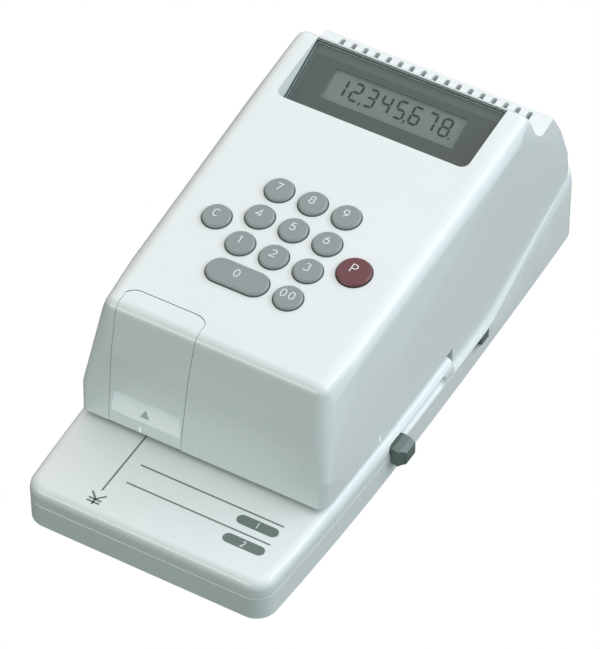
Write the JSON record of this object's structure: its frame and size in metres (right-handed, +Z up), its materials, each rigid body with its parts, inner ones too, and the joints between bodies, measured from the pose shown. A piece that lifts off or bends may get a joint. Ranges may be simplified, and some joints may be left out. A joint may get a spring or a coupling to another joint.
{
  "type": "check writer",
  "caption": "Desk check writer with a flat paper table, an overhanging head with keypad, sunk display, vented deck, ink door and side paper stop lever.",
  "frame": {"origin": "under the middle of the box round the machine and its lever, at the height of the desk; the casing is centred 3.25 mm to its left", "axes": "+X to the right as the user sees it, +Y to the back, +Z up"},
  "size_m": [0.1375, 0.283, 0.108],
  "materials": {
    "abs_white": "fine spark-eroded ABS",
    "abs_grey": "satin key caps",
    "abs_maroon": "satin key cap",
    "abs_dark": "satin",
    "acrylic_smoked": "polished",
    "lcd": "reflective display glass",
    "steel": "zinc plated",
    "brass": "turned",
    "acetal": "natural acetal gears",
    "rubber": "matt",
    "silicone": "matt",
    "board": "solder mask",
    "cell": "sleeved cells"
  },
  "bodies": {
    "body": {"lower_case": "abs_white", "paper_table": "abs_white", "upper_case": "abs_white", "display_window": "acrylic_smoked", "lcd_bezel": "steel", "lcd_glass": "lcd", "display_board": "board", "main_board": "board", "key_mat": "silicone", "throat_plate": "steel", "frame_left": "steel", "frame_right": "steel", "wheel_motor": "steel", "ink_cassette": "abs_dark", "cassette_rod": "steel", "feed_bracket": "steel", "feed_motor": "steel", "pressure_bracket": "steel", "platen_bracket": "steel", "platen_solenoid": "brass", "switch_body": "abs_dark", "battery_tray": "abs_dark", "battery_cells": "cell", "battery_contacts": "steel", "dc_jack": "abs_dark", "feet": "rubber", "case_screws": "steel", "plate_screws": "steel"},
    "ink_door": {"ink_door": "abs_white", "door_pins": "steel"},
    "type_wheel": {"wheel_shaft": "steel", "type_wheel": "abs_dark", "wheel_gear": "brass"},
    "idler_gear": {"idler_gear": "acetal"},
    "motor_pinion": {"motor_pinion": "brass"},
    "ink_roller": {"ink_roller": "rubber"},
    "feed_roller": {"feed_roller": "rubber", "feed_gear": "acetal"},
    "feed_pinion": {"feed_pinion": "brass"},
    "pressure_roller": {"pressure_roller": "rubber"},
    "platen": {"platen_lever": "steel", "platen_pad": "rubber"},
    "paper_stop": {"guide_lever": "abs_dark", "paper_stop": "abs_dark"},
    "power_knob": {"power_knob": "abs_dark"},
    "battery_door": {"battery_door": "abs_white"},
    "key_0": {"key_0": "abs_grey"},
    "key_00": {"key_00": "abs_grey"},
    "key_1": {"key_1": "abs_grey"},
    "key_2": {"key_2": "abs_grey"},
    "key_3": {"key_3": "abs_grey"},
    "key_4": {"key_4": "abs_grey"},
    "key_5": {"key_5": "abs_grey"},
    "key_6": {"key_6": "abs_grey"},
    "key_7": {"key_7": "abs_grey"},
    "key_8": {"key_8": "abs_grey"},
    "key_9": {"key_9": "abs_grey"},
    "key_clear": {"key_clear": "abs_grey"},
    "key_print": {"key_print": "abs_maroon"}
  },
  "joints": [
    {"name": "key_0_press", "type": "slide", "parent": "body", "child": "key_0", "axis": [0, 0.1097, -0.994], "range_m": [0, 0.0012], "stiffness_N_per_m": 350},
    {"name": "key_00_press", "type": "slide", "parent": "body", "child": "key_00", "axis": [0, 0.1097, -0.994], "range_m": [0, 0.0012], "stiffness_N_per_m": 350},
    {"name": "key_1_press", "type": "slide", "parent": "body", "child": "key_1", "axis": [0, 0.1097, -0.994], "range_m": [0, 0.0012], "stiffness_N_per_m": 350},
    {"name": "key_2_press", "type": "slide", "parent": "body", "child": "key_2", "axis": [0, 0.1097, -0.994], "range_m": [0, 0.0012], "stiffness_N_per_m": 350},
    {"name": "key_3_press", "type": "slide", "parent": "body", "child": "key_3", "axis": [0, 0.1097, -0.994], "range_m": [0, 0.0012], "stiffness_N_per_m": 350},
    {"name": "key_4_press", "type": "slide", "parent": "body", "child": "key_4", "axis": [0, 0.1097, -0.994], "range_m": [0, 0.0012], "stiffness_N_per_m": 350},
    {"name": "key_5_press", "type": "slide", "parent": "body", "child": "key_5", "axis": [0, 0.1097, -0.994], "range_m": [0, 0.0012], "stiffness_N_per_m": 350},
    {"name": "key_6_press", "type": "slide", "parent": "body", "child": "key_6", "axis": [0, 0.1097, -0.994], "range_m": [0, 0.0012], "stiffness_N_per_m": 350},
    {"name": "key_7_press", "type": "slide", "parent": "body", "child": "key_7", "axis": [0, 0.1097, -0.994], "range_m": [0, 0.0012], "stiffness_N_per_m": 350},
    {"name": "key_8_press", "type": "slide", "parent": "body", "child": "key_8", "axis": [0, 0.1097, -0.994], "range_m": [0, 0.0012], "stiffness_N_per_m": 350},
    {"name": "key_9_press", "type": "slide", "parent": "body", "child": "key_9", "axis": [0, 0.1097, -0.994], "range_m": [0, 0.0012], "stiffness_N_per_m": 350},
    {"name": "key_clear_press", "type": "slide", "parent": "body", "child": "key_clear", "axis": [0, 0.1097, -0.994], "range_m": [0, 0.0012], "stiffness_N_per_m": 350},
    {"name": "key_print_press", "type": "slide", "parent": "body", "child": "key_print", "axis": [0, 0.1097, -0.994], "range_m": [0, 0.0012], "stiffness_N_per_m": 350},
    {"name": "ink_door_hinge", "type": "hinge", "parent": "body", "child": "ink_door", "pos_m": [-0.03175, -0.074, 0.0856], "axis": [-1, 0, 0], "range_deg": [0, 80]},
    {"name": "type_wheel_spin", "type": "hinge", "parent": "body", "child": "type_wheel", "pos_m": [-0.03225, -0.0615, 0.0432], "axis": [1, 0, 0], "continuous": true},
    {"name": "idler_spin", "type": "hinge", "parent": "body", "child": "idler_gear", "pos_m": [-0.01625, -0.04453, 0.05744], "axis": [1, 0, 0], "continuous": true},
    {"name": "motor_pinion_spin", "type": "hinge", "parent": "body", "child": "motor_pinion", "pos_m": [-0.01625, -0.0303, 0.05226], "axis": [1, 0, 0], "continuous": true},
    {"name": "ink_roller_spin", "type": "hinge", "parent": "body", "child": "ink_roller", "pos_m": [-0.03225, -0.07463, 0.05965], "axis": [1, 0, 0], "continuous": true},
    {"name": "feed_roller_spin", "type": "hinge", "parent": "body", "child": "feed_roller", "pos_m": [0.01375, -0.0615, 0.0164], "axis": [0, 1, 0], "continuous": true},
    {"name": "feed_pinion_spin", "type": "hinge", "parent": "body", "child": "feed_pinion", "pos_m": [0.02305, -0.0475, 0.0164], "axis": [0, 1, 0], "continuous": true},
    {"name": "pressure_roller_spin", "type": "hinge", "parent": "body", "child": "pressure_roller", "pos_m": [0.01375, -0.0615, 0.0315], "axis": [0, 1, 0], "continuous": true},
    {"name": "platen_lift", "type": "hinge", "parent": "body", "child": "platen", "pos_m": [-0.03225, -0.0295, 0.015], "axis": [-1, 0, 0], "range_deg": [0, 2.5], "stiffness_Nm_per_rad": 0.05},
    {"name": "paper_stop_slide", "type": "slide", "parent": "body", "child": "paper_stop", "axis": [0, 1, 0], "range_m": [0, 0.036]},
    {"name": "power_switch_slide", "type": "slide", "parent": "body", "child": "power_knob", "axis": [0, -1, 0], "range_m": [0, 0.008]},
    {"name": "battery_door_hinge", "type": "hinge", "parent": "body", "child": "battery_door", "pos_m": [-0.00325, 0.0651, 0.00275], "axis": [-1, 0, 0], "range_deg": [0, 75]}
  ],
  "couplings": [
    {"joint": "idler_spin", "follows": "type_wheel_spin", "ratio": -1.2},
    {"joint": "motor_pinion_spin", "follows": "type_wheel_spin", "ratio": 2.4},
    {"joint": "ink_roller_spin", "follows": "type_wheel_spin", "ratio": -2},
    {"joint": "feed_pinion_spin", "follows": "feed_roller_spin", "ratio": -1.5556},
    {"joint": "pressure_roller_spin", "follows": "feed_roller_spin", "ratio": -1.5}
  ]
}
